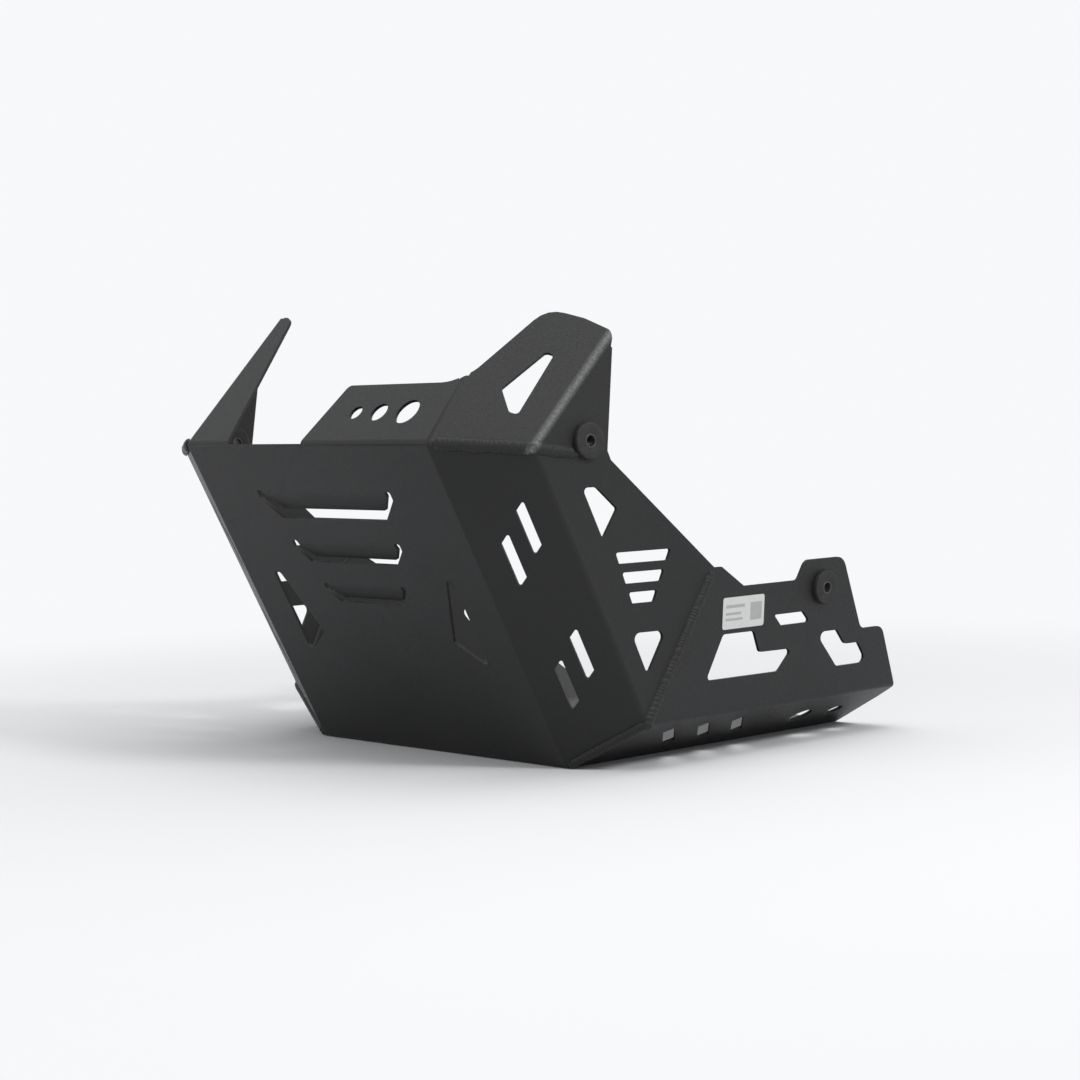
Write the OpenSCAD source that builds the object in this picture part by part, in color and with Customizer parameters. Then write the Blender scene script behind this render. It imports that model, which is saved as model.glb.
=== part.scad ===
// Engine guard for a motorcycle: one folded and welded sheet of three troughs, with rubber bushes
// that take its four bolts, a steel sleeve in each bush, and a small blank label.
// The guard lies with its floor panel on the ground. +X is the bike's left side, -Y points forward.

/* [Sheet] */
// Thickness of the sheet
sheet_t = 2; // [1.5:0.5:3]
// Inside radius of every fold
fold_r = 3; // [2:0.5:4]

/* [Panels] */
// Half the width of the flat panels between their side chamfers
half_w = 120; // [110:1:130]
// Length of the front panel along its slope
front_len = 236; // [225:1:250]
// Lean of the front panel from upright, top forward
front_lean = 28; // [25:1:31]
// Lean of the upper panel from upright, top backward
upper_lean = 42; // [39:1:45]
// Length of the floor panel
floor_len = 269; // [262:1:290]
// Width that each side chamfer spans across the guard
chamfer_w = 54; // [50:1:58]
// Depth that each side chamfer spans into the guard
chamfer_d = 30; // [27:1:33]
// Outward splay of the side walls
side_splay = 4.5; // [3:0.5:6]
// Angle at which the upper chamfer's inner fold turns to the middle
upper_taper = 4.2; // [3:0.2:5]
// Angle at which the upper chamfer widens towards its top
upper_flare = 5.5; // [4:0.5:7]

/* [Upper section] */
// Height of the low flange above the top fold
flange_h = 48; // [45:1:52]
// Height of the wings at each side above the top fold
wing_h = 117; // [112:1:122]
// Distance of the far strip's edge from the middle, at the top fold
strip_x = 76; // [70:1:82]
// Narrowing of the far strip up to its tip
strip_taper = 21; // [17:1:25]

/* [Holes] */
// Height of the row of round holes above the top fold
round_s = 25; // [22:1:27]
// Radii of the round holes, smallest first
round_r = [5, 6.75, 9.25]; // [4:0.25:10]
// Distances of the round holes from the middle
round_x = [36.6, 58.8, 85.4]; // [30:0.2:92]
// Width of the slots in the front chamfers
slot_w = 7; // [5:0.5:8]
// Length of one side of those slots
slot_len = 31; // [27:1:34]
// Distance between the two columns of slots
slot_step_c = 17; // [15:1:18]
// Distance between the two slots of a pair, along the chamfer
slot_step_s = 18.2; // [16:0.2:19]
// Heights of the two pairs of slots above the bottom fold
slot_pairs = [39.4, 129.4]; // [35:0.2:135]
// Diagonal slots in each floor chamfer
drain_count = 3; // [1:1:3]
// Distance between the diagonal slots
drain_pitch = 33; // [30:1:35]

/* [Louvres] */
// Angle by which the louvre tongues are bent inwards
tongue_angle = 23; // [18:1:28]
// Width of the cut around each tongue
kerf = 0.8; // [0.6:0.1:1.2]

/* [Welds] */
// Radius of the weld beads
bead_r = 2.4; // [2:0.1:3]
// Depth of the middle of the beads below the seam's edge
bead_sink = 0.9; // [0.6:0.1:1.2]
// Distance from each flat panel's corner at which the beads start
weld_in = 5; // [5:0.5:8]
// Swelling of a bead where it turns from the chamfer to the side wall
corner_swell = 1.35; // [1.2:0.05:1.5]

/* [Bushes] */
// Radius of the bush flanges
bush_r = 11.2; // [10.5:0.1:12]
// Thickness of each bush flange
bush_flange_t = 3.5; // [2.5:0.5:4]
// Radius of the neck that passes the sheet
bush_neck_r = 7.5; // [7:0.1:8]
// Outside radius of the steel sleeves
sleeve_r = 4.5; // [4.2:0.1:5]
// Radius of the bolt hole in the steel sleeves
bolt_r = 3.3; // [3.1:0.1:3.5]
// Clearance between pieces that seat on each other
seat_gap = 0.05; // [0.03:0.01:0.1]

/* [Label] */
// Length and height of the label
label_size = [40, 20.5]; // [18:0.5:44]
// Thickness of the label
label_t = 0.25; // [0.2:0.05:0.4]

/* [Hidden] */

$fn = 48;
// Points along each rounded corner of an outline
arc_steps = 5;
// Reach of the prisms that bound the sheet, and of those that cut it
far = 700;
// Half the depth of a cutter that passes one panel
cut = 7;
// Overlap of cutters across a fold
lap = 2.5;
// How far a fold's arc stands past the flat panels, so that it meets them in a clean line
blend = 0.02;

// Outside radius of every fold
fold_out = fold_r + sheet_t;

function unit(v) = v / norm(v);

// Inward normals and upward directions of the flat panels
front_in = [0, cos(front_lean), sin(front_lean)];
front_up = [0, -sin(front_lean), cos(front_lean)];
upper_in = [0, cos(upper_lean), -sin(upper_lean)];
upper_up = [0, sin(upper_lean), cos(upper_lean)];
floor_in = [0, 0, 1];
floor_back = [0, 1, 0];

// Point on the mitre of two panels at a depth below both
function mitre(base, a, b, depth) = base + depth * (a + b) / (1 + a * b);
// Half width of the troughs at a depth below their flat panel
function side_x(depth) = half_w + chamfer_w + (depth - chamfer_d) * tan(side_splay);
function at_x(x, p) = [x, p.y, p.z];

// Corners of the left half, on the outer faces before the folds are rounded
top_mid = front_len * front_up;
top_1 = at_x(half_w, top_mid);
top_2 = at_x(side_x(chamfer_d), mitre(top_mid, front_in, upper_in, chamfer_d));
bot_1 = [half_w, 0, 0];
bot_2 = at_x(side_x(chamfer_d), mitre([0, 0, 0], front_in, floor_in, chamfer_d));
function top_seam(depth) = at_x(side_x(depth), mitre(top_mid, front_in, upper_in, depth));
function bot_seam(depth) = at_x(side_x(depth), mitre([0, 0, 0], front_in, floor_in, depth));

// Outward normals of the left chamfers and side walls
function chamfer_out(inward) = unit([chamfer_d, 0, 0] - chamfer_w * inward);
function side_out(inward) = unit([1, 0, 0] - tan(side_splay) * inward);
wing_up = unit(upper_up - [tan(upper_taper), 0, 0]);
wing_out = unit(cross(top_2 - top_1, wing_up));
wing_across = cross(wing_up, wing_out);
wing_fold_c = (top_2 - top_1) * wing_across;
wing_fold_dir = unit(wing_up + tan(upper_flare) * wing_across);
upper_side_out = unit(cross(top_seam(2 * chamfer_d) - top_2, wing_fold_dir));
front_across = unit([chamfer_w, 0, 0] + chamfer_d * front_in);
floor_across = unit([chamfer_w, 0, 0] + chamfer_d * floor_in);

// Each fold: a point on it and the outward normals of the panels that meet there
mid_folds = [
    [top_mid, -upper_in, -front_in],
    [[0, 0, 0], -front_in, -floor_in]
];
left_folds = [
    [bot_1, -front_in, chamfer_out(front_in)],
    [bot_2, chamfer_out(front_in), side_out(front_in)],
    [bot_1, -floor_in, chamfer_out(floor_in)],
    [bot_2, chamfer_out(floor_in), side_out(floor_in)],
    [top_1, -upper_in, wing_out],
    [top_2, wing_out, upper_side_out]
];

// Each slanted panel of the left half: a point on it and its outward normal
left_panels = [
    [bot_1, chamfer_out(front_in)],
    [bot_2, side_out(front_in)],
    [bot_1, chamfer_out(floor_in)],
    [bot_2, side_out(floor_in)],
    [top_1, wing_out],
    [top_2, upper_side_out]
];

// The guard is drawn from its bottom fold, and the part's frame is at the middle of its plan box.
// Its foremost line is on the rounded top fold, a little behind the fold's sharp corner.
front_reach = front_len * sin(front_lean)
    - fold_out * (cos((upper_lean - front_lean) / 2) / cos((upper_lean + front_lean) / 2) - 1);
y_mid = (floor_len - front_reach) / 2;

// Places a piece with its own axes at a point
module place(o, ex, ey, ez) {
    multmatrix([
        [ex.x, ey.x, ez.x, o.x],
        [ex.y, ey.y, ez.y, o.y],
        [ex.z, ey.z, ez.z, o.z]
    ]) children();
}

module both_sides() {
    children();
    mirror([1, 0, 0]) children();
}

// Everything behind one panel; inset moves its face inwards
module behind(p, out, inset) {
    ex = unit(cross(abs(out.x) > 0.9 ? [0, 0, 1] : [1, 0, 0], out));
    place(p - inset * out, ex, cross(out, ex), out)
        translate([-far, -far, -far]) cube([2 * far, 2 * far, far]);
}

// What a fold's rounding takes off the sharp edge between two panels
module fold_round(p, n1, n2, inset) {
    along = unit(cross(n1, n2));
    out = unit(n1 + n2);
    half = acos(n1 * out);
    r = fold_out - inset;
    depth = fold_out - blend;
    reach = (r - blend) * sin(half);
    place(p, out, cross(along, out), along)
        translate([-depth / cos(half), 0, 0])
            linear_extrude(far, center = true)
                difference() {
                    translate([0, -reach]) square([3 * r, 2 * reach]);
                    circle(r);
                }
}

// The space behind all panels, with rounded folds: the guard's outer form, or its hollow
module form(inset) {
    difference() {
        intersection() {
            behind(top_mid, -upper_in, inset);
            behind(top_mid, -front_in, inset);
            behind([0, 0, 0], -floor_in, inset);
            intersection_for (f = left_panels) {
                intersection() {
                    behind(f[0], f[1], inset);
                    mirror([1, 0, 0]) behind(f[0], f[1], inset);
                }
            }
        }
        for (f = mid_folds) fold_round(f[0], f[1], f[2], inset);
        both_sides() for (f = left_folds) fold_round(f[0], f[1], f[2], inset);
    }
}

// Points of the arc that rounds the corner at b between a and c
function corner(a, b, c, r) =
    r == 0 ? [b] :
    let (
        u = unit(a - b),
        v = unit(c - b),
        half = acos(u * v) / 2,
        centre = b + unit(u + v) * r / sin(half),
        from = b + u * r / tan(half) - centre,
        to = b + v * r / tan(half) - centre,
        start = atan2(from.y, from.x),
        turn = atan2(from.x * to.y - from.y * to.x, from * to)
    )
    [for (i = [0 : arc_steps]) centre + r * [cos(start + turn * i / arc_steps), sin(start + turn * i / arc_steps)]];

// Outline with rounded corners, from points [x, y, radius]
function flat_2(p) = [p[0], p[1]];
function rounded(ps) = [
    for (i = [0 : len(ps) - 1])
        each corner(
            flat_2(ps[(i + len(ps) - 1) % len(ps)]), flat_2(ps[i]), flat_2(ps[(i + 1) % len(ps)]), ps[i][2]
        )
];

// Cutter square to a panel: outline in the panel's own axes, from its outer face
module panel_cut(o, ex, ey, ps) {
    place(o, ex, ey, cross(ex, ey))
        linear_extrude(2 * cut, center = true) polygon(rounded(ps));
}

// Cutter through both side walls: outline in Y and Z
module side_cut(ps) {
    multmatrix([[0, 0, 1, 0], [1, 0, 0, 0], [0, 1, 0, 0]])
        linear_extrude(2 * far, center = true) polygon(rounded(ps));
}

// Free edges

// What is missing from the upper panel: all above the low flange, and the gap beside the far strip
module upper_panel_void() {
    panel_cut(top_mid, [1, 0, 0], upper_up, [
        [-strip_x, 0.5, 0],
        [0, 0.5, 0],
        [12.5, flange_h, 4],
        [half_w - 14, flange_h, 22],
        [half_w - 2, flange_h + 8, 0],
        [half_w - 2, far, 0],
        [-half_w, far, 0],
        [-half_w, wing_h - 4, 0],
        [-strip_x - strip_taper, wing_h - 4, 8]
    ]);
}

// What is missing above the left wing
module left_wing_void() {
    panel_cut(top_1, wing_across, wing_up, [
        [-lap, flange_h + 1.8, 0],
        [2.5, flange_h + 6.5, 12],
        [24.3, wing_h, 12],
        [52, wing_h, 20],
        [wing_fold_c + 10, wing_h - 4, 6],
        [wing_fold_c + 11, wing_h - 12, 0],
        [far, wing_h - 12, 0],
        [far, far, 0],
        [-lap, far, 0]
    ]);
}

// What is missing above the right wing, which runs into the far strip
module right_wing_void() {
    mirror([1, 0, 0])
        panel_cut(top_1, wing_across, wing_up, [
            [-lap, wing_h - 4, 0],
            [26, wing_h, 12],
            [52, wing_h, 20],
            [wing_fold_c + 10, wing_h - 4, 6],
            [wing_fold_c + 11, wing_h - 12, 0],
            [far, wing_h - 12, 0],
            [far, far, 0],
            [-lap, far, 0]
        ]);
}

// What is missing behind and above the side walls
module side_void() {
    side_cut([
        [12, 400, 0],
        [-6.8, 267, 0],
        [-15.6, 200.5, 2],
        [-13.2, 195, 1],
        [74.5, 124.4, 3],
        [81.5, 124.4, 3],
        [103.8, 110.6, 4],
        [157, 110.6, 4],
        [164.3, 123.4, 7],
        [204, 123.4, 10],
        [226, 73, 6],
        [249.3, 73, 8],
        [floor_len - 1, 26, 6],
        [floor_len, 20, 0],
        [far, 20, 0],
        [far, 400, 0]
    ]);
}

// Holes

module round_holes() {
    for (i = [0 : 2])
        place(top_mid + round_s * upper_up + [round_x[i], 0, 0], [1, 0, 0], upper_up, -upper_in)
            cylinder(h = 2 * cut, r = round_r[i], center = true);
}

// Long opening in each upper chamfer
module wing_opening() {
    panel_cut(top_1, wing_across, wing_up, [
        [26.4, 51.6, 1.6], [40.3, 85.2, 2.6], [46.1, 85.2, 2.6], [44.1, 36.6, 2.6], [38.2, 36.9, 2.6]
    ]);
}

// Slots with slanted ends in each front chamfer, in two pairs
module chamfer_slots() {
    for (base = slot_pairs, i = [0, 1]) {
        c = 19.3 + i * slot_step_c;
        s = base + i * slot_step_s;
        panel_cut(bot_1, front_across, front_up, [
            [c, s, 1], [c + slot_w, s + 5.8, 1], [c + slot_w, s + 5.8 + slot_len, 1], [c, s + slot_len, 1]
        ]);
    }
}

// Diagonal slots and two round holes in each floor chamfer
module floor_chamfer_holes() {
    for (i = [0 : drain_count - 1])
        panel_cut(bot_1, floor_across, floor_back, [
            [41.5, 51 + i * drain_pitch, 1.2],
            [47.5, 57 + i * drain_pitch, 1.2],
            [22, 80 + i * drain_pitch, 1.2],
            [16, 74 + i * drain_pitch, 1.2]
        ]);
    for (h = [[199.4, round_r[2]], [236, round_r[1]]])
        place(bot_1 + 28.5 * floor_across + h[0] * floor_back, floor_across, floor_back, cross(floor_across, floor_back))
            cylinder(h = 2 * cut, r = h[1], center = true);
}

// Kite-shaped openings, one at each side of the front panel
module kite() {
    panel_cut([0, 0, 0], [1, 0, 0], front_up, [
        [83.4, 137.6, 2.4], [89.8, 137.6, 2.4], [89.8, 72.8, 3.5], [64.9, 91.3, 2.5]
    ]);
}

// Openings through both side walls
module side_holes() {
    side_cut([[-35.9, 179, 2.5], [-24.4, 179, 5], [-7.7, 165.3, 1.6], [-19.3, 147.2, 1.6]]);
    side_cut([[4.6, 88.2, 4], [33.6, 88, 4], [18, 61.2, 2.2]]);
    side_cut([[134.8, 89.4, 0.8], [164.3, 89.4, 1.5], [171.8, 81.9, 1.5], [142, 81.9, 0.8]]);
    side_cut([
        [85.6, 80.8, 3], [115.6, 80.6, 3], [121.8, 66.2, 3], [155.2, 65.8, 2.5], [141.3, 51.8, 4], [70.7, 52.4, 2.5]
    ]);
    side_cut([
        [178.3, 74.2, 4], [200.6, 74.2, 3], [209.6, 63.9, 5], [223.8, 63.8, 3], [235, 49.3, 4], [201.3, 49.5, 4]
    ]);
    side_cut_grille();
}

// Three slots of decreasing length in the front part of each side wall
module side_cut_grille() {
    for (i = [0 : 2]) {
        half_top = 23 - 5.5 * i;
        z = 138.5 - 12.5 * i;
        side_cut([
            [14 - half_top, z, 1.2], [14 + half_top, z, 1.2], [14 + half_top - 3, z - 7, 1.2], [14 - half_top + 3, z - 7, 1.2]
        ]);
    }
}

// Louvres: half width, height of the bend line, height of the lower edge, and size of the cut corners
louvres = [[67, 201.5, 180.2, 15], [54, 163.7, 147.2, 11], [41, 131.2, 116.6, 9.8]];

module louvre_opening(l) {
    panel_cut([0, 0, 0], [1, 0, 0], front_up, [
        [-l[0], l[1], 2], [-l[0], l[2] + l[3], 2], [-l[0] + l[3], l[2], 1.5],
        [l[0] - l[3], l[2], 1.5], [l[0], l[2] + l[3], 2], [l[0], l[1], 2]
    ]);
}

// Tongue that closes a louvre's opening, bent inwards about its upper edge
module tongue(l) {
    flat_len = l[1] - l[2] - kerf;
    turn = [sin(tongue_angle), cos(tongue_angle)];
    bent = fold_out * tongue_angle * PI / 180;
    run = flat_len - bent;
    bend_end = fold_out * [turn.x, 1 - turn.y];
    profile = concat(
        [[-1, 0]],
        [for (i = [0 : arc_steps]) fold_out * [sin(tongue_angle * i / arc_steps), 1 - cos(tongue_angle * i / arc_steps)]],
        [
            bend_end + run * [turn.y, turn.x],
            bend_end + run * [turn.y, turn.x] + sheet_t * [-turn.x, turn.y]
        ],
        [
            for (i = [arc_steps : -1 : 0])
                [0, fold_out] + fold_r * [sin(tongue_angle * i / arc_steps), -cos(tongue_angle * i / arc_steps)]
        ],
        [[-1, sheet_t]]
    );
    down = -turn.y * front_up + turn.x * front_in;
    half = l[0] - kerf;
    intersection() {
        place(l[1] * front_up, -front_up, front_in, [-1, 0, 0])
            linear_extrude(2 * half, center = true) polygon(profile);
        place(l[1] * front_up, [1, 0, 0], down, cross([1, 0, 0], down))
            linear_extrude(8 * sheet_t, center = true)
                polygon(rounded([
                    [-half, -4, 0], [half, -4, 0], [half, flat_len - l[3], 2], [half - l[3], flat_len + 0.5, 1.5],
                    [l[3] - half, flat_len + 0.5, 1.5], [-half, flat_len - l[3], 2]
                ]));
    }
}

// Welds

// One straight bead from a to b, sunk into the seam between two panels
module bead(a, b, n1, n2) {
    run = unit(b - a);
    side = unit(n1 - n2);
    place(a - bead_sink * unit(n1 + n2), side, cross(run, side), run) cylinder(h = norm(b - a), r = bead_r);
}

// Rounded end of a bead, or the heavier lump of weld where a bead turns a corner
module bead_end(p, n1, n2, swell = 1.05) {
    translate(p - bead_sink * unit(n1 + n2)) sphere(bead_r * swell);
}

// Beads along the mitres of the left half: across the chamfers, then up the side walls
module left_beads() {
    top_start = top_1 + weld_in * unit(top_2 - top_1);
    bot_start = bot_1 + weld_in * unit(bot_2 - bot_1);
    top_end = top_seam(chamfer_d + 28);
    bot_end = bot_seam(120);
    bead(top_start, top_2, chamfer_out(front_in), wing_out);
    bead(top_2, top_end, side_out(front_in), upper_side_out);
    bead(bot_start, bot_2, chamfer_out(front_in), chamfer_out(floor_in));
    bead(bot_2, bot_end, side_out(front_in), side_out(floor_in));
    bead_end(top_start, chamfer_out(front_in), wing_out);
    bead_end(top_2, chamfer_out(front_in), upper_side_out, corner_swell);
    bead_end(top_end, side_out(front_in), upper_side_out);
    bead_end(bot_start, chamfer_out(front_in), chamfer_out(floor_in));
    bead_end(bot_2, chamfer_out(front_in), side_out(floor_in), corner_swell);
    bead_end(bot_end, side_out(front_in), side_out(floor_in));
}

// Bushes

// Axes of the bush holes, on the outer faces of the left side walls
upper_bush_p = let (y = -31.5, z = 206.8)
    [top_2.x - (upper_side_out.y * (y - top_2.y) + upper_side_out.z * (z - top_2.z)) / upper_side_out.x, y, z];
rear_bush_p = [side_x(104.2), 184, 104.2];
rear_side_out = side_out(floor_in);

// Turns a piece made along +Z so that it points out of a side wall
module on_wall(p, out) {
    ex = unit(cross([0, 0, 1], out));
    place(p, ex, cross(out, ex), out) children();
}

module bush() {
    color("#2a2a2b")
        difference() {
            union() {
                translate([0, 0, seat_gap]) cylinder(h = bush_flange_t, r = bush_r);
                translate([0, 0, -sheet_t - seat_gap - bush_flange_t]) cylinder(h = bush_flange_t, r = bush_r);
                translate([0, 0, -sheet_t - bush_flange_t]) cylinder(h = sheet_t + 2 * bush_flange_t, r = bush_neck_r);
            }
            translate([0, 0, -20]) cylinder(h = 40, r = sleeve_r + seat_gap);
        }
}

module sleeve() {
    length = sheet_t + 2 * bush_flange_t + 2 * seat_gap;
    color("#3a3b3c")
        translate([0, 0, -sheet_t / 2])
            difference() {
                cylinder(h = length, r = sleeve_r, center = true);
                cylinder(h = length + 2, r = bolt_r, center = true);
            }
}

module bush_hole() {
    cylinder(h = 2 * cut, r = bush_neck_r + seat_gap, center = true);
}

// Shell

module guard_shell() {
    color("#333436")
        difference() {
            union() {
                difference() {
                    intersection() {
                        form(0);
                        translate([-far, -far, -10]) cube([2 * far, far + floor_len, 320]);
                    }
                    form(sheet_t);
                    for (l = louvres) louvre_opening(l);
                }
                for (l = louvres) tongue(l);
                both_sides() left_beads();
            }
            upper_panel_void();
            left_wing_void();
            right_wing_void();
            side_void();
            round_holes();
            side_holes();
            both_sides() {
                wing_opening();
                chamfer_slots();
                floor_chamfer_holes();
                kite();
                on_wall(upper_bush_p, upper_side_out) bush_hole();
                on_wall(rear_bush_p, rear_side_out) bush_hole();
            }
        }
}

// Label on the left rear side wall, under the bush tab
module label() {
    z = 93.9;
    color("#c9cac8")
        place([side_x(z), 104.1, z], floor_back, unit([tan(side_splay), 0, 1]), rear_side_out)
            translate([0, 0, seat_gap])
                linear_extrude(label_t)
                    polygon(rounded([for (s = [[-1, -1], [1, -1], [1, 1], [-1, 1]])
                        [s[0] * label_size[0] / 2, s[1] * label_size[1] / 2, 1.5]]));
}

translate([0, -y_mid, 0]) {
    guard_shell();
    on_wall(upper_bush_p, upper_side_out) bush();  // bush_upper_left
    mirror([1, 0, 0]) on_wall(upper_bush_p, upper_side_out) bush();  // bush_upper_right
    on_wall(rear_bush_p, rear_side_out) bush();  // bush_rear_left
    mirror([1, 0, 0]) on_wall(rear_bush_p, rear_side_out) bush();  // bush_rear_right
    on_wall(upper_bush_p, upper_side_out) sleeve();  // sleeve_upper_left
    mirror([1, 0, 0]) on_wall(upper_bush_p, upper_side_out) sleeve();  // sleeve_upper_right
    on_wall(rear_bush_p, rear_side_out) sleeve();  // sleeve_rear_left
    mirror([1, 0, 0]) on_wall(rear_bush_p, rear_side_out) sleeve();  // sleeve_rear_right
    label();
}
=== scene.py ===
"""Looks of a motorcycle's engine guard: powder-coated folded sheet, rippled welds, rubber bushes,
steel sleeves and a plain label. Shapes are in millimetres in the drawing frame of the part's source,
which plan_shift takes to the part's own frame. Materials, lamps and fades are in metres."""

import bmesh
import bpy
import numpy as np
from mathutils import Matrix, Vector


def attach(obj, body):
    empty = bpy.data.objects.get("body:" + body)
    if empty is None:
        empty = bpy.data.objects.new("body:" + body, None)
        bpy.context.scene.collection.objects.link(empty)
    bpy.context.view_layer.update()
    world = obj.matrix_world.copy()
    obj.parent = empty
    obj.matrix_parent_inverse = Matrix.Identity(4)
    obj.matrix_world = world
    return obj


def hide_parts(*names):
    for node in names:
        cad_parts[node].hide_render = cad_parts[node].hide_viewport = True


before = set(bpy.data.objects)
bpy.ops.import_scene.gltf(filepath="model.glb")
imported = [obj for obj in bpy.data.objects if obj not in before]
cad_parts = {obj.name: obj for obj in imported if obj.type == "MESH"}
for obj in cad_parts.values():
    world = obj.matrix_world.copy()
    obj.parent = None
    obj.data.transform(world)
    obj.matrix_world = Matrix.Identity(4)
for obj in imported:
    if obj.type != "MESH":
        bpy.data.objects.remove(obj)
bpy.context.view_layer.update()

MM = 0.001
# Sizes of the folded sheet, as in the part's source
half_w = 120.0
front_len = 236.0
front_lean = np.radians(28)
upper_lean = np.radians(42)
floor_len = 269.0
chamfer_w = 54.0
chamfer_d = 30.0
splay = np.radians(4.5)
fold_out = 5.0
sheet_t = 2.0
wing_lean = np.radians(4.2)
wing_fold_lean = np.radians(5.5)


def unit(v):
    """The vector v divided by its length."""
    v = np.asarray(v, float)
    return v / np.linalg.norm(v)


# Panels: inward normals and upward directions
front_in = np.array([0, np.cos(front_lean), np.sin(front_lean)])
front_up = np.array([0, -np.sin(front_lean), np.cos(front_lean)])
upper_in = np.array([0, np.cos(upper_lean), -np.sin(upper_lean)])
upper_up = np.array([0, np.sin(upper_lean), np.cos(upper_lean)])
floor_in = np.array([0, 0, 1.0])
right = np.array([1.0, 0, 0])
# The middle of the plan lies halfway between the floor's end and the upper fold, whose outside radius
# takes a little off its reach
bisector = np.cos((upper_lean - front_lean) / 2) / np.cos((upper_lean + front_lean) / 2)
front_reach = front_len * np.sin(front_lean) - fold_out * (bisector - 1)
plan_middle = np.array([0, (floor_len - front_reach) / 2, 0])
plan_shift = -plan_middle
top_mid = front_len * front_up


def side_x(depth):
    """Half width of a trough: half_w + chamfer_w plus the splay's share of the depth past the chamfer."""
    return half_w + chamfer_w + (depth - chamfer_d) * np.tan(splay)


def seam(base, a, b, depth):
    """Point where the mitre of two troughs meets their left side walls: base plus depth along the bisector
    of the panels' normals a and b."""
    p = base + depth * (a + b) / (1 + a @ b)
    return np.array([side_x(depth), p[1], p[2]])


def chamfer_out(inward):
    """Outward normal of a left chamfer: depth across minus width inwards."""
    return unit(chamfer_d * right - chamfer_w * inward)


def side_out(inward):
    """Outward normal of a left side wall: sideways, less the splay's share inwards."""
    return unit(right - np.tan(splay) * inward)


# Ends of the mitres on the left: the flat panel's corner (1) and the chamfer's outer edge (2)
top_1 = top_mid + half_w * right
top_2 = seam(top_mid, front_in, upper_in, chamfer_d)
bot_1 = half_w * right
bot_2 = seam(np.zeros(3), front_in, floor_in, chamfer_d)
# The left wing, which is the upper section's chamfer, and the side wall that is folded to it
wing_up = unit(upper_up - np.tan(wing_lean) * right)
wing_out = unit(np.cross(top_2 - top_1, wing_up))
wing_across = np.cross(wing_up, wing_out)
wing_fold = unit(wing_up + np.tan(wing_fold_lean) * wing_across)
upper_side_out = unit(np.cross(seam(top_mid, front_in, upper_in, 2 * chamfer_d) - top_2, wing_fold))


# Meshes

def add_mesh(name, points, faces, smooth=True):
    """A mesh object from an array of points in millimetres and a list of faces."""
    mesh = bpy.data.meshes.new(name)
    mesh.from_pydata((np.asarray(points, float) * MM).tolist(), [], faces)
    mesh.validate()
    mesh.polygons.foreach_set("use_smooth", np.full(len(mesh.polygons), smooth))
    mesh.update()
    piece = bpy.data.objects.new(name, mesh)
    bpy.context.scene.collection.objects.link(piece)
    return piece


def grid_faces(rows, columns, wrap_rows=False, wrap_columns=False):
    """Quads between neighbours of a rows by columns grid, numbered row by row, and closed where wrapped."""
    i = np.arange(rows if wrap_rows else rows - 1)[:, None]
    j = np.arange(columns if wrap_columns else columns - 1)[None, :]
    i2 = (i + 1) % rows
    j2 = (j + 1) % columns
    quads = np.stack([i * columns + j, i * columns + j2, i2 * columns + j2, i2 * columns + j], -1)
    return quads.reshape(-1, 4).tolist()


def mirrored(points):
    """The points with X turned to the other side."""
    return points * np.array([-1.0, 1.0, 1.0])


def turned(faces):
    """The faces with their corners in the opposite order."""
    return [f[::-1] for f in faces]


def lathe(name, outline, centre, axis, steps=72):
    """An outline of (radius, height) turned about an axis: each point is the centre, plus the radius times
    (u cos t + v sin t), plus the height along the axis."""
    outline = np.asarray(outline, float)
    axis = unit(axis)
    u = unit(np.cross([0, 0, 1.0], axis))
    v = np.cross(axis, u)
    t = np.linspace(0, 2 * np.pi, steps, endpoint=False)[None, :, None]
    r = outline[:, 0][:, None, None]
    h = outline[:, 1][:, None, None]
    points = centre + r * (u * np.cos(t) + v * np.sin(t)) + h * axis
    faces = grid_faces(len(outline), steps, wrap_rows=True, wrap_columns=True)
    return add_mesh(name, points.reshape(-1, 3), faces)


def round_corners(corners, radii, steps=5):
    """Closed outline with soft corners. Each is a quadratic curve, (1-t)^2 a + 2t(1-t) corner + t^2 b,
    between the points a and b that lie one radius away from the corner."""
    corners = np.asarray(corners, float)
    radii = np.asarray(radii, float)[:, None]
    before = np.roll(corners, 1, 0) - corners
    after = np.roll(corners, -1, 0) - corners
    a = corners + radii * before / np.linalg.norm(before, axis=1)[:, None]
    b = corners + radii * after / np.linalg.norm(after, axis=1)[:, None]
    t = np.linspace(0, 1, steps)[None, :, None]
    arcs = (1 - t) ** 2 * a[:, None] + 2 * t * (1 - t) * corners[:, None] + t ** 2 * b[:, None]
    return arcs.reshape(-1, 2)


# Materials

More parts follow.
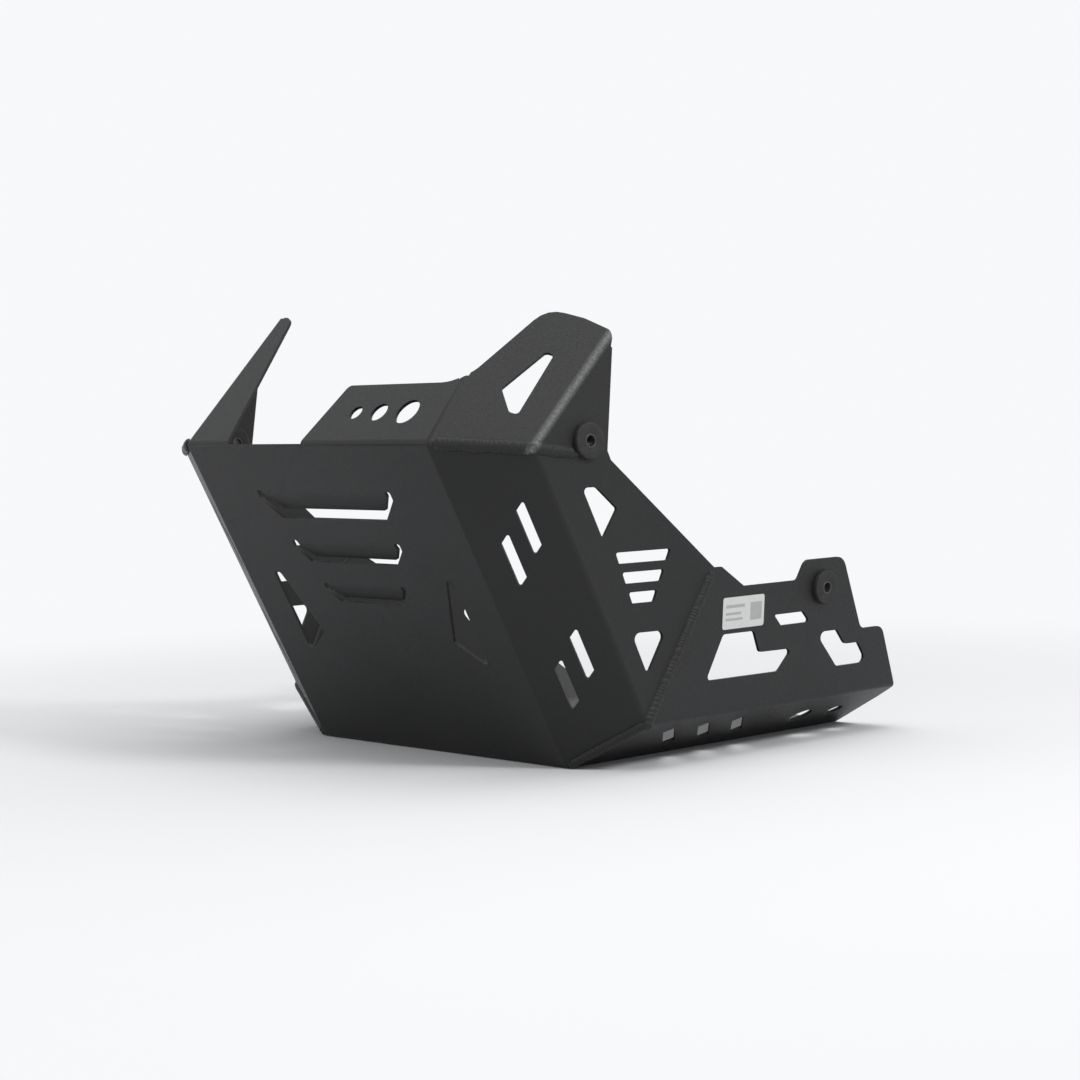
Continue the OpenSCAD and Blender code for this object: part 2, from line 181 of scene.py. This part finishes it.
class Nodes:
    """A material's node tree, with short calls that add a node and link it."""

    def __init__(self, name):
        self.material = bpy.data.materials.new(name)
        self.material.use_nodes = True
        self.tree = self.material.node_tree
        self.shader = self.tree.nodes["Principled BSDF"]
        coordinates = self.tree.nodes.new("ShaderNodeTexCoord")
        self.object = coordinates.outputs["Object"]
        self.uv = coordinates.outputs["UV"]

    def link(self, source, target):
        """Links an output to an input."""
        self.tree.links.new(source, target)

    def noise(self, scale, detail=2.0, rough=0.5):
        """Noise over Object coordinates, with a scale per metre."""
        node = self.tree.nodes.new("ShaderNodeTexNoise")
        node.inputs["Scale"].default_value = scale
        node.inputs["Detail"].default_value = detail
        node.inputs["Roughness"].default_value = rough
        self.link(self.object, node.inputs["Vector"])
        return node.outputs["Fac"]

    def ramp(self, source, stops, kind="LINEAR"):
        """Grey or colour ramp through (position, value) stops."""
        node = self.tree.nodes.new("ShaderNodeValToRGB")
        node.color_ramp.interpolation = kind
        elements = node.color_ramp.elements
        for k, (position, value) in enumerate(stops):
            element = elements[k] if k < 2 else elements.new(position)
            element.position = position
            element.color = (*value, 1) if hasattr(value, "__len__") else (value, value, value, 1)
        self.link(source, node.inputs["Fac"])
        return node.outputs["Color"]

    def math(self, kind, a, b=None):
        """The result of a math operation on outputs and plain numbers."""
        node = self.tree.nodes.new("ShaderNodeMath")
        node.operation = kind
        for k, value in enumerate((a, b)):
            if value is None:
                continue
            if isinstance(value, (int, float)):
                node.inputs[k].default_value = value
            else:
                self.link(value, node.inputs[k])
        return node.outputs[0]

    def vector(self, kind, a, b=None):
        """The node of a vector operation, where a tuple stands for a fixed vector."""
        node = self.tree.nodes.new("ShaderNodeVectorMath")
        node.operation = kind
        for k, value in enumerate((a, b)):
            if value is None:
                continue
            if isinstance(value, tuple):
                node.inputs[k].default_value = value
            else:
                self.link(value, node.inputs[k])
        return node

    def line_distance(self, point, direction):
        """Distance from a line on the left and from its mirror image: the length of the cross product of
        (|x|, y, z) - point with the line's direction."""
        split = self.tree.nodes.new("ShaderNodeSeparateXYZ")
        join = self.tree.nodes.new("ShaderNodeCombineXYZ")
        self.link(self.object, split.inputs[0])
        self.link(self.math("ABSOLUTE", split.outputs[0]), join.inputs[0])
        self.link(split.outputs[1], join.inputs[1])
        self.link(split.outputs[2], join.inputs[2])
        away = self.vector("SUBTRACT", join.outputs[0], tuple(point))
        across = self.vector("CROSS_PRODUCT", away.outputs[0], tuple(direction))
        return self.vector("LENGTH", across.outputs[0]).outputs["Value"]

    def mixed(self, share, colour, other):
        """The first colour, turned to the other by a share."""
        node = self.tree.nodes.new("ShaderNodeMix")
        node.data_type = "RGBA"
        self.link(share, node.inputs[0])
        self.link(colour, node.inputs[6])
        node.inputs[7].default_value = (*other, 1)
        return node.outputs[2]

    def bump(self, height, distance, strength, normal=None):
        """A normal bent by a height, in metres of distance, on top of another bump's normal."""
        node = self.tree.nodes.new("ShaderNodeBump")
        node.inputs["Distance"].default_value = distance
        node.inputs["Strength"].default_value = strength
        self.link(height, node.inputs["Height"])
        if normal is not None:
            self.link(normal, node.inputs["Normal"])
        return node.outputs["Normal"]


def powder_coat():
    """Black powder coat: fine orange peel, a grain of about half a millimetre, a faint drift of tone, and a
    painted highlight on the fold between each wing and its side wall: a grey line, broken by the grain."""
    # Painted highlight: the grey stands in for the left lamp's glint on each wing's fold. These are its
    # full width, its end and its grey.
    highlight_full = 0.0009
    highlight_end = 0.0014
    painted_highlight_grey = (0.20, 0.201, 0.203)
    m = Nodes("matte_black_powder_coat")
    drift = m.ramp(m.noise(9.0, 3.0), [(0.3, (0.0125, 0.0127, 0.0133)), (0.7, (0.0155, 0.0157, 0.0162))])
    # Painted highlight: the coat turns grey within about a millimetre of each wing's fold line, broken up
    # by the grain noise
    from_fold = m.line_distance((top_2 + plan_shift) * MM, wing_fold)
    on_fold = m.ramp(from_fold, [(highlight_full, 1.0), (highlight_end, 0.0)])
    painted_highlight = m.math("MULTIPLY", on_fold, m.ramp(m.noise(900.0, 3.0, 0.7), [(0.32, 0.25), (0.62, 1.0)]))
    m.link(m.mixed(painted_highlight, drift, painted_highlight_grey), m.shader.inputs["Base Color"])
    m.link(m.ramp(m.noise(600.0, 2.0), [(0.3, 0.38), (0.7, 0.48)]), m.shader.inputs["Roughness"])
    peel = m.bump(m.noise(640.0, 2.0), 0.00018, 0.45)
    m.link(m.bump(m.noise(1500.0, 2.0, 0.6), 0.00030, 0.95, peel), m.shader.inputs["Normal"])
    m.shader.inputs["Specular IOR Level"].default_value = 0.27
    return m.material


def moulded_rubber():
    """Black moulded rubber with a soft, slightly dusty face."""
    m = Nodes("moulded_black_rubber")
    m.link(m.ramp(m.noise(160.0, 3.0), [(0.35, (0.016, 0.016, 0.0165)), (0.7, (0.024, 0.024, 0.0245))]),
           m.shader.inputs["Base Color"])
    m.link(m.ramp(m.noise(500.0, 2.0), [(0.3, 0.62), (0.7, 0.78)]), m.shader.inputs["Roughness"])
    m.link(m.bump(m.noise(1200.0, 2.0), 0.00006, 0.5), m.shader.inputs["Normal"])
    m.shader.inputs["Specular IOR Level"].default_value = 0.35
    return m.material


def passivated_steel():
    """Black passivated steel, a little worn to grey."""
    m = Nodes("black_passivated_steel")
    m.link(m.ramp(m.noise(700.0, 3.0), [(0.35, (0.02, 0.02, 0.021)), (0.75, (0.045, 0.045, 0.047))]),
           m.shader.inputs["Base Color"])
    m.link(m.ramp(m.noise(900.0, 2.0), [(0.3, 0.34), (0.7, 0.48)]), m.shader.inputs["Roughness"])
    m.link(m.bump(m.noise(1600.0, 2.0), 0.00003, 0.4), m.shader.inputs["Normal"])
    return m.material


coat = powder_coat()
rubber = moulded_rubber()
steel = passivated_steel()


def finish(piece, material, slot, *nodes):
    """Gives a piece its material, hides the CAD nodes it stands for, and puts it on the only body. The slot
    is not used.
    """
    piece.data.materials.clear()
    piece.data.materials.append(material)
    if nodes:
        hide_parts(*nodes)
    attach(piece, "root")


# Shell

# Louvres: half width, height of the bend line and the lower edge, cut corner, and slot under the tongue
louvres = [(67, 201.5, 180.2, 15, 6.0), (54, 163.7, 147.2, 11, 2.8), (41, 131.2, 116.6, 9.8, 2.6)]
slot_w = 5.2
slot_round = 2.2
slot_reach = (-4, 14)
fine_cut = 0.4
bend_gap = 0.1
# Tongues: angle back, length of the bend, play round a tongue's edges, and a depth that they stay within
tongue_back = np.radians(8)
tongue_bend = 2.2
tongue_play = 0.5
tongue_depth = 16
# Free edges of the upper section, and the reach of what trims them and the radius of a sharp corner
flange_h = 48.0
wing_h = 117.0
strip_edge = 76.9
strip_taper = 22.3
trim_reach = (-7, 7)
sharp = 0.01
# Corner lumps: middle under the corner, height that stays, radius, and share taken off above that
lump_sink = 0.9
lump_height = 1.6
lump_radius = 3.4
lump_pressed = 0.67
sharp_angle = np.radians(24)


def opening_half(louvre, side, foot):
    """Half of a louvre's outline, on the negative side of X and moved inwards at its side and foot: the top
    of its side, and both ends of its slanted corner."""
    half, top, low, slant = louvre[:4]
    step = slant + (side + foot) / 2 * np.sqrt(2)
    x = side - half
    return [(x, top - bend_gap), (x, low + step - side), (step - foot - half, low + foot)]


def prism(name, outline, origin, across, up, reach):
    """A closed outline in a panel's own axes, drawn out over a reach along the normal up x across."""
    normal = np.cross(up, across)
    flat = origin + outline[:, :1] * across + outline[:, 1:] * up + plan_shift
    count = len(outline)
    faces = grid_faces(2, count, wrap_columns=True)
    faces += [list(range(count))[::-1], list(range(count, 2 * count))]
    points = np.concatenate([flat + reach[0] * normal, flat + reach[1] * normal])
    return add_mesh(name, points, turned(faces), smooth=False)


def slot_cutter(louvre):
    """A prism along the U-shaped slot round a tongue: outer outline, then the inner one back."""
    outer = opening_half(louvre, fine_cut, fine_cut)
    inner = opening_half(louvre, slot_w, louvre[4])
    outer += [(-x, y) for x, y in outer[::-1]]
    inner += [(-x, y) for x, y in inner[::-1]]
    radii = [slot_round, 1, 1, 1, 1, slot_round] * 2
    outline = round_corners(outer + inner[::-1], radii, 7)
    return prism("slot_cutter", outline, np.zeros(3), right, front_up, slot_reach)


def edge_cutters():
    """Prisms that trim the far strip's inner edge, the flange's end and the wings' front corners. Each
    outline is in the axes of the panel that it trims: across, and up from the mitre."""
    strip = round_corners(
        [(-strip_edge, 0.6), (-60, 0.6), (-60, wing_h + 9), (-half_w, wing_h + 9), (-half_w, wing_h - 4),
         (-strip_edge - strip_taper, wing_h - 4)],
        [sharp, sharp, sharp, sharp, sharp, 8]
    )
    flange = round_corners(
        [(half_w - 30, flange_h + 0.1), (half_w - 11.5, flange_h + 0.1), (half_w - 1.2, flange_h + 6.4),
         (half_w - 1.2, flange_h + 30), (half_w - 30, flange_h + 30)],
        [sharp, 8, sharp, sharp, sharp]
    )
    wing = round_corners(
        [(-2.5, flange_h + 4.2), (3.4, flange_h + 6.4), (27.2, wing_h + 0.05), (45, wing_h + 0.05),
         (45, wing_h + 20), (-2.5, wing_h + 20)],
        [sharp, 8, 12, sharp, sharp, sharp]
    )
    right_wing = round_corners(
        [(-3, wing_h - 4.2), (10, wing_h - 4.1), (24, wing_h - 0.4), (24, wing_h + 10), (-3, wing_h + 10)],
        [sharp, 3, sharp, sharp, sharp]
    )
    right_axes = [mirrored(v) for v in (top_1, wing_across, wing_up)]
    return [
        prism("right_wing_cutter", right_wing, *right_axes, trim_reach),
        prism("strip_cutter", strip, top_mid, right, upper_up, trim_reach),
        prism("flange_cutter", flange, top_mid, right, upper_up, trim_reach),
        prism("wing_cutter", wing, top_1, wing_across, wing_up, trim_reach)
    ]


def flattened_lumps(points):
    """Corner lumps of weld pressed in: what stands past lump_height from a lump's middle, along its outward
    line, loses the share lump_pressed of that height."""
    for turn in (np.array([1.0, 1.0, 1.0]), np.array([-1.0, 1.0, 1.0])):
        for corner, n1, n2 in (
            (top_2, chamfer_out(front_in), upper_side_out),
            (bot_2, chamfer_out(front_in), side_out(floor_in))
        ):
            out = unit(n1 + n2)
            away = points / MM - (corner - lump_sink * out + plan_shift) * turn
            height = away @ (out * turn) - lump_height
            near = (np.linalg.norm(away, axis=1) < lump_radius) & (height > 0)
            points = points - (near * height * lump_pressed)[:, None] * (out * turn) * MM
    return points


def eased_tongues(points):
    """Tongues turned back out by tongue_back about their bend lines, in full from tongue_bend below them:
    with r below the line and d inwards, r' = r cos a + d sin a and d' = d cos a - r sin a."""
    place = points / MM - plan_shift
    d = place @ front_in
    for half, top, low, _, foot in louvres:
        r = top - place @ front_up
        inside = (r > 0) & (r < top - low - foot + tongue_play)
        inside &= (np.abs(place[:, 0]) < half - slot_w + tongue_play) & (np.abs(d) < tongue_depth)
        a = tongue_back * np.clip(r / tongue_bend, 0, 1) * inside
        down = r * np.cos(a) + d * np.sin(a) - r
        deep = d * np.cos(a) - r * np.sin(a) - d
        points = points + (deep[:, None] * front_in - down[:, None] * front_up) * MM
    return points


def moved(mesh, change):
    """Puts the mesh's vertices where the change takes them."""
    points = np.zeros(3 * len(mesh.vertices))
    mesh.vertices.foreach_get("co", points)
    mesh.vertices.foreach_set("co", change(points.reshape(-1, 3)).ravel())
    mesh.update()


def slotted_shell():
    """The folded shell with flatter corner lumps, slots of full width round its tongues, trimmed free edges
    and eased tongues, and with normals that keep its panels flat."""
    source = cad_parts["guard_shell"]
    piece = bpy.data.objects.new("folded_shell", source.data.copy())
    bpy.context.scene.collection.objects.link(piece)
    work = bmesh.new()
    work.from_mesh(piece.data)
    bmesh.ops.remove_doubles(work, verts=work.verts, dist=1e-6)
    work.to_mesh(piece.data)
    work.free()
    moved(piece.data, flattened_lumps)
    cutters = [slot_cutter(louvre) for louvre in louvres] + edge_cutters()
    for cutter in cutters:
        boolean = piece.modifiers.new(cutter.name, "BOOLEAN")
        boolean.object = cutter
        boolean.operation = "DIFFERENCE"
        boolean.solver = "EXACT"
    bpy.context.view_layer.update()
    done = piece.evaluated_get(bpy.context.evaluated_depsgraph_get())
    mesh = bpy.data.meshes.new_from_object(done)
    piece.modifiers.clear()
    piece.data = mesh
    for cutter in cutters:
        bpy.data.objects.remove(cutter)
    moved(mesh, eased_tongues)
    mesh.shade_smooth()
    mesh.set_sharp_from_angle(angle=sharp_angle)
    weighted = piece.modifiers.new("flat_panels", "WEIGHTED_NORMAL")
    weighted.keep_sharp = True
    return piece


finish(slotted_shell(), coat, "powder_coat", "guard_shell")


# Welds

# Beads: depth of the middle under the seam, length of a ripple, and how far both ends pass the seam's
bead_sink = 1.7
bead_pitch = 3.0
bead_over = 0.2
bead_rows_per_mm = 3
bead_sides = 28
bead_back = 0.4
# Caps: length in half widths, and the least share of the swell, squared
cap_length = 1.1
cap_least = 0.006
# Drift along a bead: distance of its knots, share in pitch and width, and wander to the side
drift_step = 9.0
drift_share = 0.10
drift_aside = 0.25
# Ripples: crest's bend in pitches, and the even share of the swell, the ripple's and the drift's
crest_bend = 0.55
swell_even = 0.98
swell_ripple = 0.13
swell_drift = 0.05
# Ends of the beads: distance from the flat panel's corner, and depths on the side mitres
bead_inset = 4.0
upper_bead_depth = chamfer_d + 28
lower_bead_depth = 120


def bead(start, end, n1, n2, seed, width=4.2, height=3.5):
    """A rippled weld bead along a seam between faces with the normals n1 and n2: an ellipse carried from
    start to end, swollen once per pitch by a saw-like wave whose crests bend back towards the edges, and
    drawn in to a round cap at both ends. With w the share of a pitch gone, the wave is w^0.6 (1 - w^6)."""
    rng = np.random.default_rng(seed)
    run = unit(end - start)
    out = unit(n1 + n2)
    across = unit(np.cross(run, out))
    out = np.cross(across, run)
    length = np.linalg.norm(end - start) + 2 * bead_over
    rows = int(length * bead_rows_per_mm)
    s = np.linspace(0, length, rows)[:, None]
    t = np.linspace(0, 2 * np.pi, bead_sides, endpoint=False)[None, :]
    cap = np.clip(np.minimum(s, length - s) / (width * cap_length), 0, 1)
    cap = np.sqrt(np.clip(1 - (1 - cap) ** 2, cap_least, 1))
    knots = np.arange(0, length + drift_step, drift_step)
    drift = np.interp(s[:, 0], knots, rng.uniform(-1, 1, len(knots)))[:, None]
    drift_2 = np.interp(s[:, 0], knots, rng.uniform(-1, 1, len(knots)))[:, None]
    phase = s / (bead_pitch * (1 + drift_share * drift)) + crest_bend * np.cos(t) ** 2
    wave = phase - np.floor(phase)
    ripple = (wave ** 0.6) * (1 - wave ** 6)
    swell = (swell_even + swell_ripple * ripple + swell_drift * drift_2) * cap
    x = width * np.cos(t) * swell * (1 + drift_share * drift)
    y = np.where(np.sin(t) > 0, height, bead_back) * np.sin(t) * swell
    centre = start - bead_over * run - bead_sink * out + plan_shift
    points = centre + s[..., None] * run + x[..., None] * across + y[..., None] * out
    points = points + drift_aside * drift[..., None] * across
    faces = turned(grid_faces(rows, bead_sides, wrap_columns=True))
    faces.append(list(range(bead_sides)))
    faces.append(list(range((rows - 1) * bead_sides, rows * bead_sides))[::-1])
    return points, faces


def joined(name, parts):
    """One mesh from several grids of points with their faces."""
    points, faces, count = [], [], 0
    for grid, quads in parts:
        grid = grid.reshape(-1, 3)
        points.append(grid)
        faces += [[i + count for i in q] for q in quads]
        count += len(grid)
    return add_mesh(name, np.concatenate(points), faces)


top_start = top_1 + bead_inset * unit(top_2 - top_1)
bot_start = bot_1 + bead_inset * unit(bot_2 - bot_1)
top_end = seam(top_mid, front_in, upper_in, upper_bead_depth)
bot_end = seam(np.zeros(3), front_in, floor_in, lower_bead_depth)
beads = {
    "weld_upper": [
        bead(top_start, top_2, chamfer_out(front_in), wing_out, 1),
        bead(top_2, top_end, side_out(front_in), upper_side_out, 2)
    ],
    "weld_lower": [
        bead(bot_start, bot_2, chamfer_out(front_in), chamfer_out(floor_in), 3, width=3.6, height=3.3),
        bead(bot_2, bot_end, side_out(front_in), side_out(floor_in), 4)
    ]
}
for weld_name, parts in beads.items():
    finish(joined(weld_name + "_left", parts), coat, "powder_coat")
    finish(joined(weld_name + "_right", [(mirrored(p), turned(f)) for p, f in parts]), coat, "powder_coat")


# Bushes and sleeves

# Radii, the thickness of a bush's flange, the air between touching pieces, and the bushes' places
bush_r = 11.2
flange_t = 3.5
neck_r = 7.5
sleeve_r = 4.5
bolt_r = 3.3
gap = 0.05
upper_bush_y = -31.5
upper_bush_z = 206.8
rear_bush_y = 184.0
rear_bush_z = 104.2


def on_upper_side(y, z):
    """Point of the left upper side wall at y and z, where its offset from top_2 is square to its normal."""
    offset = upper_side_out[1] * (y - top_2[1]) + upper_side_out[2] * (z - top_2[2])
    return np.array([top_2[0] - offset / upper_side_out[0], y, z])


upper_bush = on_upper_side(upper_bush_y, upper_bush_z)
rear_bush = np.array([side_x(rear_bush_z), rear_bush_y, rear_bush_z])
outer = gap + flange_t
inner = -sheet_t - gap - flange_t
bush_outline = round_corners(
    [(sleeve_r + gap, inner), (bush_r, inner), (bush_r, -sheet_t - gap), (neck_r, -sheet_t - gap),
     (neck_r, gap), (bush_r, gap), (bush_r, outer), (sleeve_r + gap, outer)],
    [0.3, 1.1, 0.5, 0.1, 0.1, 0.5, 1.1, 0.3]
)
sleeve_outline = round_corners(
    [(bolt_r, inner), (sleeve_r, inner), (sleeve_r, outer), (bolt_r, outer)], [0.25, 0.3, 0.3, 0.25], 4
)
for place, seat, out in (("upper", upper_bush, upper_side_out), ("rear", rear_bush, side_out(floor_in))):
    for side, flip in (("left", 1), ("right", -1)):
        turn = np.array([flip, 1.0, 1.0])
        centre = (seat + plan_shift) * turn
        bush = lathe("bush_body_" + place + "_" + side, bush_outline, centre, out * turn)
        finish(bush, rubber, "bush_rubber", "bush_" + place + "_" + side)
        sleeve = lathe("sleeve_body_" + place + "_" + side, sleeve_outline, centre, out * turn, 48)
        finish(sleeve, steel, "sleeve_steel", "sleeve_" + place + "_" + side)


# Label

label_size = np.array([40.0, 20.5])
label_t = 0.25
label_y = 104.1
label_z = 93.9
label_corner = 2.0
film_tone = 0.56
film_drift = 0.06
field_darker = 0.22
# Rings of the film from its back: share of the outline, and height
label_rings = [(1.0, 0.0), (1.0, label_t * 0.6), (0.997, label_t)]
# Printed fields as low and high u, low and high v
label_fields = [
    (0.66, 0.94, 0.22, 0.78), (0.07, 0.52, 0.66, 0.76), (0.07, 0.44, 0.44, 0.52), (0.07, 0.48, 0.26, 0.34)
]


def label_film():
    """Satin silver film with a square field and three bars, a little darker, in the film's own UV map."""
    m = Nodes("satin_silver_film")
    split = m.tree.nodes.new("ShaderNodeSeparateXYZ")
    m.link(m.uv, split.inputs[0])
    u, v = split.outputs[0], split.outputs[1]
    mask = None
    for low_u, high_u, low_v, high_v in label_fields:
        in_u = m.math("MULTIPLY", m.math("GREATER_THAN", u, low_u), m.math("LESS_THAN", u, high_u))
        in_v = m.math("MULTIPLY", m.math("GREATER_THAN", v, low_v), m.math("LESS_THAN", v, high_v))
        inside = m.math("MULTIPLY", in_u, in_v)
        mask = inside if mask is None else m.math("MAXIMUM", mask, inside)
    film = m.math("ADD", film_tone, m.math("MULTIPLY", m.noise(300.0), film_drift))
    tone = m.math("ADD", m.math("MULTIPLY", mask, -field_darker), film)
    m.link(m.ramp(tone, [(0.0, (0.0, 0.0, 0.0)), (1.0, (1.0, 1.01, 1.0))]), m.shader.inputs["Base Color"])
    m.link(m.ramp(m.noise(220.0), [(0.3, 0.32), (0.7, 0.45)]), m.shader.inputs["Roughness"])
    m.link(m.bump(m.noise(140.0, 2.0), 0.00008, 0.4), m.shader.inputs["Normal"])
    return m.material


def label_piece():
    """A thin film with round corners: rings of its outline from its back over a soft rim to its face."""
    half = label_size / 2
    corners = [(-half[0], -half[1]), (half[0], -half[1]), half, (-half[0], half[1])]
    outline = round_corners(corners, [label_corner] * 4, 7)
    centre = np.array([side_x(label_z), label_y, label_z]) + plan_shift
    out = side_out(floor_in)
    along = np.array([0, 1.0, 0])
    up = np.cross(out, along)
    plan = np.concatenate([outline * k for k, _ in label_rings])
    rise = np.repeat([h for _, h in label_rings], len(outline))
    points = centre + plan[:, :1] * along + plan[:, 1:] * up + (gap + rise)[:, None] * out
    faces = grid_faces(len(label_rings), len(outline), wrap_columns=True)
    faces.append(list(range(len(outline)))[::-1])
    faces.append(list(range(len(points) - len(outline), len(points))))
    piece = add_mesh("label_film", points, faces, smooth=False)
    uv = piece.data.uv_layers.new(name="film")
    corner = np.zeros(len(piece.data.loops), np.int32)
    piece.data.loops.foreach_get("vertex_index", corner)
    uv.data.foreach_set("uv", ((plan / label_size + 0.5)[corner]).ravel())
    return piece


finish(label_piece(), label_film(), "label_film", "label")


# Floor, backdrop, lamps and camera

floor_radii = np.array([1.0, 600.0, 1500.0, 3000.0])
floor_steps = 96
floor_drop = 0.05
floor_colour = (0.80, 0.808, 0.82, 1)
# Radii in metres where the floor begins to clear and where it is gone
floor_fade = (0.28, 0.95)
backdrop_colour = (0.93, 0.94, 0.955, 1)
# Strength of the backdrop for plain light, and where it is seen
backdrop_levels = (0.55, 1.0)


def stage_floor():
    """A pale disc under the guard that fades into the white surroundings with its radius."""
    t = np.linspace(0, 2 * np.pi, floor_steps, endpoint=False)[None, :]
    r = floor_radii[:, None]
    z = np.full((len(floor_radii), floor_steps), -floor_drop)
    points = np.stack([r * np.cos(t), r * np.sin(t), z], -1).reshape(-1, 3)
    faces = grid_faces(len(floor_radii), floor_steps, wrap_columns=True)
    piece = add_mesh("studio_floor", points, faces, smooth=False)
    m = Nodes("pale_floor")
    tree = m.tree
    tree.nodes.remove(m.shader)
    output = tree.nodes["Material Output"]
    diffuse = tree.nodes.new("ShaderNodeBsdfDiffuse")
    diffuse.inputs["Color"].default_value = floor_colour
    clear = tree.nodes.new("ShaderNodeBsdfTransparent")
    mix = tree.nodes.new("ShaderNodeMixShader")
    radius = m.vector("LENGTH", m.object).outputs["Value"]
    m.link(m.ramp(radius, [(floor_fade[0], 0.0), (floor_fade[1], 1.0)], "EASE"), mix.inputs["Fac"])
    m.link(diffuse.outputs[0], mix.inputs[1])
    m.link(clear.outputs[0], mix.inputs[2])
    m.link(mix.outputs[0], output.inputs["Surface"])
    piece.data.materials.append(m.material)


def surroundings():
    """White where the camera, a gloss or a clear surface sees it, and a softer level for plain light."""
    world = bpy.data.worlds.new("white_studio")
    bpy.context.scene.world = world
    world.use_nodes = True
    tree = world.node_tree
    background = tree.nodes["Background"]
    path = tree.nodes.new("ShaderNodeLightPath")
    seen = path.outputs["Is Camera Ray"]
    for ray in ("Is Transmission Ray", "Is Glossy Ray"):
        either = tree.nodes.new("ShaderNodeMath")
        either.operation = "MAXIMUM"
        tree.links.new(seen, either.inputs[0])
        tree.links.new(path.outputs[ray], either.inputs[1])
        seen = either.outputs[0]
    level = tree.nodes.new("ShaderNodeMapRange")
    level.inputs["To Min"].default_value = backdrop_levels[0]
    level.inputs["To Max"].default_value = backdrop_levels[1]
    tree.links.new(seen, level.inputs["Value"])
    tree.links.new(level.outputs[0], background.inputs["Strength"])
    background.inputs["Color"].default_value = backdrop_colour


def lamp(name, place, aim, size, power):
    """A square area lamp at a place in metres, turned to its aim, with its side in metres and its watts."""
    light = bpy.data.lights.new(name, "AREA")
    light.shape = "SQUARE"
    light.size = size
    light.energy = power
    holder = bpy.data.objects.new(name, light)
    bpy.context.scene.collection.objects.link(holder)
    holder.location = place
    holder.rotation_euler = (Vector(aim) - Vector(place)).to_track_quat("-Z", "Y").to_euler()


stage_floor()
surroundings()
lamp("overhead", (0.4, -0.3, 2.2), (0, 0, 0.1), 2.0, 23)
lamp("left_side", (2.2, 0.2, 1.7), (0.1, 0, 0.15), 0.5, 26)
lamp("front", (-0.9, -2.4, 1.3), (0, 0, 0.15), 1.2, 7)

# The fitted camera: its place, its rounded directions in the picture, and its focal length in pixels
eye = np.array([1159.2, -1020.8, 229.6]) + plan_shift
sight_right = np.array([0.6951, 0.7185, -0.0234])
sight_up = np.array([-0.0256, 0.0573, 0.9980])
focal_px = 2332.2
photo_px = 1080
sensor_mm = 36.0
sight_back = unit(np.cross(sight_right, sight_up))
sight_up = np.cross(sight_back, unit(sight_right))
camera_data = bpy.data.cameras.new("photo_view")
camera_data.sensor_width = sensor_mm
camera_data.lens = sensor_mm * focal_px / photo_px
camera = bpy.data.objects.new("photo_view", camera_data)
bpy.context.scene.collection.objects.link(camera)
axes = np.column_stack([unit(sight_right), sight_up, sight_back, eye * MM])
camera.matrix_world = Matrix([*axes.tolist(), [0, 0, 0, 1]])
bpy.context.scene.camera = camera
bpy.context.scene.view_settings.view_transform = "Standard"
